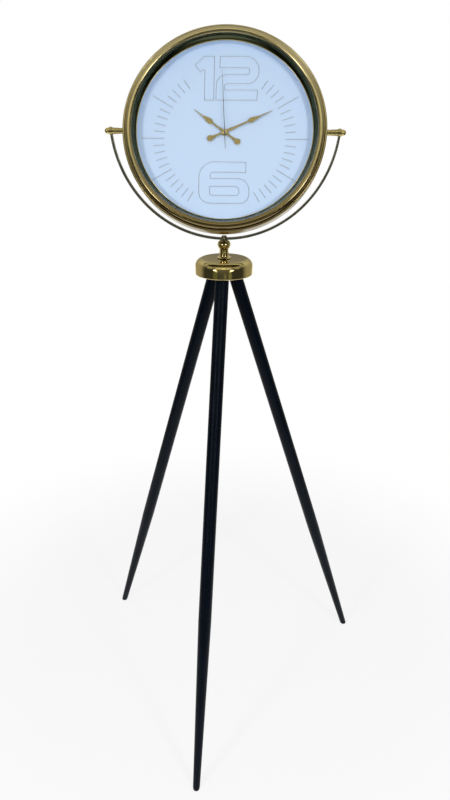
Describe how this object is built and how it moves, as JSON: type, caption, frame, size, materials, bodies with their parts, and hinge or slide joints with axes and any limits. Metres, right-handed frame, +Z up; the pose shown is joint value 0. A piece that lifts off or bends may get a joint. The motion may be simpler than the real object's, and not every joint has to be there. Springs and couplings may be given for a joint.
{
  "type": "tripod floor clock",
  "caption": "Round brass clock with a pale blue dial and leaf hands, tilting in a thin flat-bar yoke on a turned brass stem and a splayed tripod of straight black legs.",
  "frame": {"origin": "on the floor, under the stem, in the middle of the three feet", "axes": "+Z up, -Y the way the clock faces, +X to the right of someone facing the clock"},
  "size_m": [0.6271, 0.5772, 1.4269],
  "materials": {
    "black_leg": "black satin coat",
    "pad_rubber": "matt black",
    "fixing_steel": "zinc plated",
    "block_wood": "dark stained",
    "polished_brass": "polished and lacquered",
    "bronze_rod": "dark bronzed",
    "clear_glass": "clear flat glass",
    "ring_paint": "pale satin paint",
    "dial_paint": "pale satin paint with printed figures",
    "board_fibre": "dark fibreboard",
    "black_plastic": "moulded black",
    "battery_skin": "printed steel can without lettering",
    "contact_spring": "nickel plated",
    "board_green": "green circuit board",
    "coil_copper": "enamelled copper winding",
    "wheel_plastic": "moulded off-white",
    "hand_brass": "satin brass"
  },
  "bodies": {
    "stand": {"leg_front": "black_leg", "leg_left": "black_leg", "leg_right": "black_leg", "foot_pads": "pad_rubber", "hanger_bolts": "fixing_steel", "leg_block": "block_wood", "hub_cover": "polished_brass", "stem_stud": "fixing_steel", "stem": "polished_brass", "swivel_washer": "polished_brass", "swivel_stud": "fixing_steel", "cap_nut": "polished_brass"},
    "head_yoke": {"yoke": "bronze_rod"},
    "clock": {"case_drum": "polished_brass", "front_bezel": "polished_brass", "glass": "clear_glass", "spacer_ring": "ring_paint", "dial": "dial_paint", "back_board": "board_fibre", "case_screws": "fixing_steel", "pivot_screw_left": "polished_brass", "pivot_screw_right": "polished_brass", "pivot_barrel_left": "polished_brass", "pivot_barrel_right": "polished_brass", "pivot_nuts": "fixing_steel", "movement_case": "black_plastic", "movement_cover": "black_plastic", "bush_nut": "polished_brass", "battery": "battery_skin", "battery_contacts": "contact_spring", "circuit_board": "board_green", "stator": "fixing_steel", "coil": "coil_copper"},
    "seconds_set": {"seconds_wheel": "wheel_plastic", "second_hand": "hand_brass"},
    "minutes_set": {"centre_wheel": "wheel_plastic", "minute_hand": "hand_brass", "hand_nut": "polished_brass"},
    "hours_set": {"hour_wheel": "wheel_plastic", "hour_hand": "hand_brass"},
    "third_set": {"third_wheel": "wheel_plastic"},
    "intermediate_set": {"intermediate_wheel": "wheel_plastic"},
    "rotor_set": {"rotor": "fixing_steel"},
    "minute_wheel_set": {"minute_wheel": "wheel_plastic"},
    "set_knob_set": {"set_knob": "black_plastic"}
  },
  "joints": [
    {"name": "head_swivel", "type": "hinge", "parent": "stand", "child": "head_yoke", "pos_m": [0, 0, 1.067], "axis": [0, 0, 1], "continuous": true},
    {"name": "clock_tilt", "type": "hinge", "parent": "head_yoke", "child": "clock", "pos_m": [0, 0, 1.255], "axis": [1, 0, 0], "continuous": true},
    {"name": "second_spin", "type": "hinge", "parent": "clock", "child": "seconds_set", "pos_m": [0, 0, 1.255], "axis": [0, 0.9205, -0.3907], "continuous": true},
    {"name": "minute_spin", "type": "hinge", "parent": "clock", "child": "minutes_set", "pos_m": [0, 0, 1.255], "axis": [0, 0.9205, -0.3907], "continuous": true},
    {"name": "hour_spin", "type": "hinge", "parent": "clock", "child": "hours_set", "pos_m": [0, 0, 1.255], "axis": [0, 0.9205, -0.3907], "continuous": true},
    {"name": "third_wheel_spin", "type": "hinge", "parent": "clock", "child": "third_set", "pos_m": [-0.01015, 0.00144, 1.2584], "axis": [0, 0.9205, -0.3907], "continuous": true},
    {"name": "intermediate_spin", "type": "hinge", "parent": "clock", "child": "intermediate_set", "pos_m": [0.00688, -0.00188, 1.25056], "axis": [0, 0.9205, -0.3907], "continuous": true},
    {"name": "rotor_spin", "type": "hinge", "parent": "clock", "child": "rotor_set", "pos_m": [0.0122, -0.00152, 1.25143], "axis": [0, 0.9205, -0.3907], "continuous": true},
    {"name": "minute_wheel_spin", "type": "hinge", "parent": "clock", "child": "minute_wheel_set", "pos_m": [0.006, 0.00406, 1.26457], "axis": [0, 0.9205, -0.3907], "continuous": true},
    {"name": "set_knob_spin", "type": "hinge", "parent": "clock", "child": "set_knob_set", "pos_m": [0.01639, 0.00641, 1.27009], "axis": [0, 0.9205, -0.3907], "continuous": true}
  ],
  "couplings": [
    {"joint": "minute_spin", "follows": "second_spin", "ratio": 0.016667},
    {"joint": "hour_spin", "follows": "second_spin", "ratio": 0.0013889},
    {"joint": "third_wheel_spin", "follows": "second_spin", "ratio": -0.13333},
    {"joint": "intermediate_spin", "follows": "second_spin", "ratio": -6},
    {"joint": "rotor_spin", "follows": "second_spin", "ratio": 30},
    {"joint": "minute_wheel_spin", "follows": "second_spin", "ratio": -0.0055556},
    {"joint": "set_knob_spin", "follows": "second_spin", "ratio": 0.016667}
  ]
}
